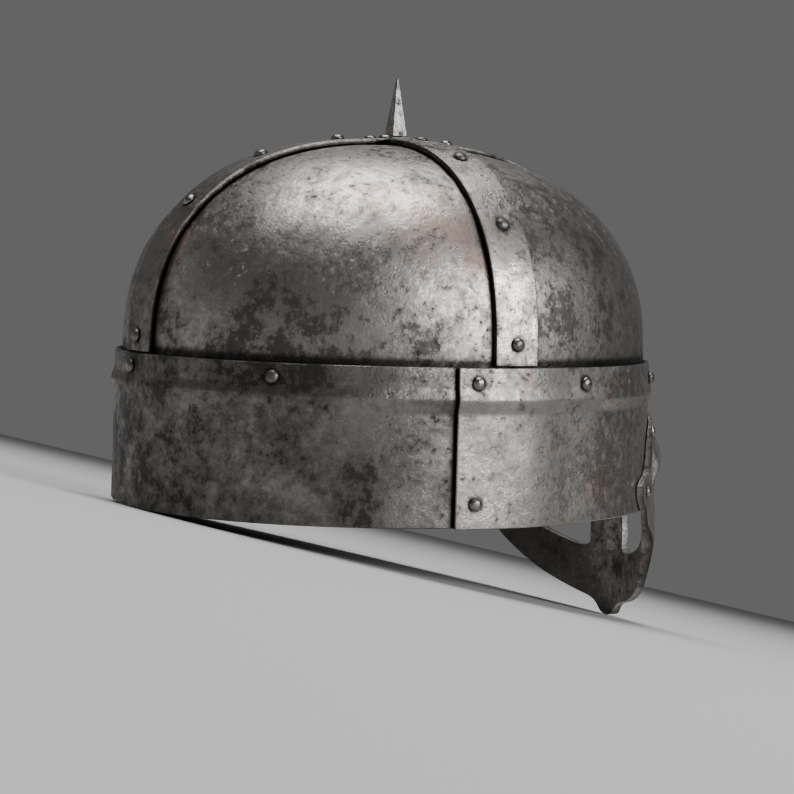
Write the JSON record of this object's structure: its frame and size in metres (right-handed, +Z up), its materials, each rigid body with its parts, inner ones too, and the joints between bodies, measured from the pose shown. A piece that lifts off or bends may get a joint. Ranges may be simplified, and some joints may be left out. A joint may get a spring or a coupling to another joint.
{
  "type": "norse iron helmet",
  "caption": "Riveted iron helmet with a banded dome, lapped brow band, small top spike and a spectacle guard with a nose piece, resting as it would by itself.",
  "frame": {"origin": "middle of the helmet's outline on the ground, as it rests", "axes": "+Z up, -Y towards the face opening, -X towards the wearer's right"},
  "size_m": [0.2074, 0.2616, 0.1984],
  "materials": {
    "iron_plate": "dark grey wrought iron sheet with mottled stains, worn bright on the crown",
    "iron_band": "grey wrought iron, a little brighter and more rubbed than the plates",
    "iron_rivet": "domed rivet heads, polished by handling"
  },
  "bodies": {
    "root": {"brow_band_front": "iron_band", "brow_band_rear": "iron_band", "crest_band": "iron_band", "dome_plate_front_left": "iron_plate", "dome_plate_front_right": "iron_plate", "dome_plate_rear_left": "iron_plate", "dome_plate_rear_right": "iron_plate", "eye_guard": "iron_band", "rivet_brow_01": "iron_rivet", "rivet_brow_02": "iron_rivet", "rivet_brow_03": "iron_rivet", "rivet_brow_04": "iron_rivet", "rivet_brow_05": "iron_rivet", "rivet_brow_06": "iron_rivet", "rivet_brow_07": "iron_rivet", "rivet_brow_08": "iron_rivet", "rivet_brow_09": "iron_rivet", "rivet_brow_10": "iron_rivet", "rivet_brow_11": "iron_rivet", "rivet_brow_12": "iron_rivet", "rivet_crest_01": "iron_rivet", "rivet_crest_02": "iron_rivet", "rivet_crest_03": "iron_rivet", "rivet_crest_04": "iron_rivet", "rivet_crest_05": "iron_rivet", "rivet_crest_06": "iron_rivet", "rivet_crest_07": "iron_rivet", "rivet_crest_08": "iron_rivet", "rivet_crossing_01": "iron_rivet", "rivet_crossing_02": "iron_rivet", "rivet_crossing_03": "iron_rivet", "rivet_crossing_04": "iron_rivet", "rivet_guard_01": "iron_rivet", "rivet_guard_02": "iron_rivet", "rivet_guard_03": "iron_rivet", "rivet_guard_04": "iron_rivet", "rivet_guard_05": "iron_rivet", "rivet_side_01": "iron_rivet", "rivet_side_02": "iron_rivet", "rivet_side_03": "iron_rivet", "rivet_side_04": "iron_rivet", "rivet_side_05": "iron_rivet", "rivet_side_06": "iron_rivet", "side_band": "iron_band", "spike": "iron_band"}
  },
  "joints": []
}
